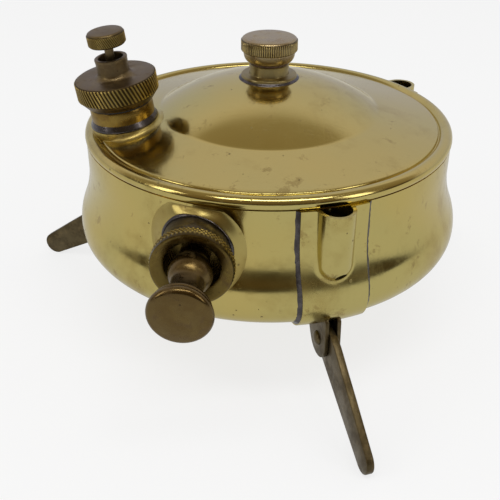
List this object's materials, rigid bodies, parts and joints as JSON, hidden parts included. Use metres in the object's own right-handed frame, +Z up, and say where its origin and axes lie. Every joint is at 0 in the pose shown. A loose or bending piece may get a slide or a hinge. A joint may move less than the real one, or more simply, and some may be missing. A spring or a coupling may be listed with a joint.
{
  "type": "pressure stove tank with folding legs",
  "caption": "Brass kerosene pressure stove tank with folding legs, side pump, screw filler cap with air screw, closed burner port and pockets for pot supports.",
  "frame": {"origin": "on the tank's axis at floor level", "axes": "+Z up along the tank's axis, -Y towards the front, where the pump's mouth is, +X to the right"},
  "size_m": [0.1451, 0.1349, 0.0911],
  "materials": {
    "tank_brass": "aged polished brass, pale and slightly olive, with fine scratches and small dark spots",
    "fitting_brass": "turned brass with a dark bronze-brown patina",
    "port_brass": "turned brass with a light brown patina",
    "leg_brass": "flat bar brass, dark olive brown and unpolished",
    "inner_brass": "plain drawn brass",
    "solder": "tarnished soft solder, dark grey with bright edges",
    "leather": "oiled leather",
    "rubber": "black fuel-proof rubber",
    "spring_steel": "drawn wire"
  },
  "bodies": {
    "tank": {"tank_body": "tank_brass", "tank_top": "tank_brass", "burner_bush": "fitting_brass", "burner_solder": "solder", "feed_tube": "inner_brass", "filler_bush": "fitting_brass", "filler_solder": "solder", "pump_tube": "inner_brass", "pump_collar": "fitting_brass", "pump_solder": "solder", "valve_body": "inner_brass", "bracket_front": "tank_brass", "bracket_left": "tank_brass", "bracket_rear": "tank_brass", "solder_front": "solder", "solder_left": "solder", "solder_rear": "solder", "pin_front": "leg_brass", "pin_left": "leg_brass", "pin_rear": "leg_brass"},
    "valve_disc": {"valve_pip": "rubber", "valve_spring": "spring_steel"},
    "port_seal": {"port_washer": "leather"},
    "port_closure": {"port_cap": "port_brass"},
    "filler_seal": {"filler_washer": "rubber"},
    "filler_closure": {"filler_cap": "fitting_brass"},
    "air_travel": {"air_needle": "fitting_brass"},
    "air_control": {"air_screw": "fitting_brass"},
    "pump_seal": {"pump_washer": "leather"},
    "pump_closure": {"pump_cap": "fitting_brass"},
    "plunger": {"pump_rod": "fitting_brass", "pump_knob": "fitting_brass", "piston_plate": "inner_brass", "piston_cup": "leather", "piston_nut": "inner_brass"},
    "front_leg": {"leg_front": "leg_brass"},
    "left_leg": {"leg_left": "leg_brass"},
    "rear_leg": {"leg_rear": "leg_brass"}
  },
  "joints": [
    {"name": "port_cap_rise", "type": "slide", "parent": "tank", "child": "port_seal", "axis": [0, 0, 1], "range_m": [0, 0.006]},
    {"name": "port_cap_turn", "type": "hinge", "parent": "port_seal", "child": "port_closure", "pos_m": [0, 0, 0.08], "axis": [0, 0, 1], "range_deg": [0, 2165]},
    {"name": "filler_cap_rise", "type": "slide", "parent": "tank", "child": "filler_seal", "axis": [-0.1287, -0.0484, 0.9905], "range_m": [0, 0.00625]},
    {"name": "filler_cap_turn", "type": "hinge", "parent": "filler_seal", "child": "filler_closure", "pos_m": [-0.04063, -0.01008, 0.07271], "axis": [-0.1287, -0.0484, 0.9905], "range_deg": [0, 1805]},
    {"name": "air_screw_rise", "type": "slide", "parent": "filler_closure", "child": "air_travel", "axis": [-0.1287, -0.0484, 0.9905], "range_m": [0, 0.0016]},
    {"name": "air_screw_turn", "type": "hinge", "parent": "air_travel", "child": "air_control", "pos_m": [-0.04192, -0.01056, 0.08261], "axis": [-0.1287, -0.0484, 0.9905], "range_deg": [0, 725]},
    {"name": "pump_cap_rise", "type": "slide", "parent": "tank", "child": "pump_seal", "axis": [-0.0836, -0.9951, -0.0523], "range_m": [0, 0.006]},
    {"name": "pump_cap_turn", "type": "hinge", "parent": "pump_seal", "child": "pump_closure", "pos_m": [-0.0186, -0.05656, 0.04777], "axis": [-0.0836, -0.9951, -0.0523], "range_deg": [0, 2165]},
    {"name": "plunger_slide", "type": "slide", "parent": "pump_seal", "child": "plunger", "axis": [-0.0836, -0.9951, -0.0523], "range_m": [0, 0.062]},
    {"name": "valve_lift", "type": "slide", "parent": "tank", "child": "valve_disc", "axis": [0.0836, 0.9951, 0.0523], "range_m": [0, 0.0008], "stiffness_N_per_m": 20, "springref_m": -0.002, "deforming": ["valve_spring"]},
    {"name": "front_leg_fold", "type": "hinge", "parent": "tank", "child": "front_leg", "pos_m": [0.01471, -0.0481, 0.0203], "axis": [0.9563, 0.2924, 0], "range_deg": [0, 142]},
    {"name": "left_leg_fold", "type": "hinge", "parent": "tank", "child": "left_leg", "pos_m": [-0.04696, 0.01803, 0.0203], "axis": [-0.3584, -0.9336, 0], "range_deg": [0, 142]},
    {"name": "rear_leg_fold", "type": "hinge", "parent": "tank", "child": "rear_leg", "pos_m": [0.04069, 0.02957, 0.0203], "axis": [-0.5878, 0.809, 0], "range_deg": [0, 142]}
  ],
  "couplings": [
    {"joint": "port_cap_turn", "follows": "port_cap_rise", "rad_per_m": 6283.2},
    {"joint": "filler_cap_turn", "follows": "filler_cap_rise", "rad_per_m": 5026.5},
    {"joint": "air_screw_turn", "follows": "air_screw_rise", "rad_per_m": 7854},
    {"joint": "pump_cap_turn", "follows": "pump_cap_rise", "rad_per_m": 6283.2}
  ]
}
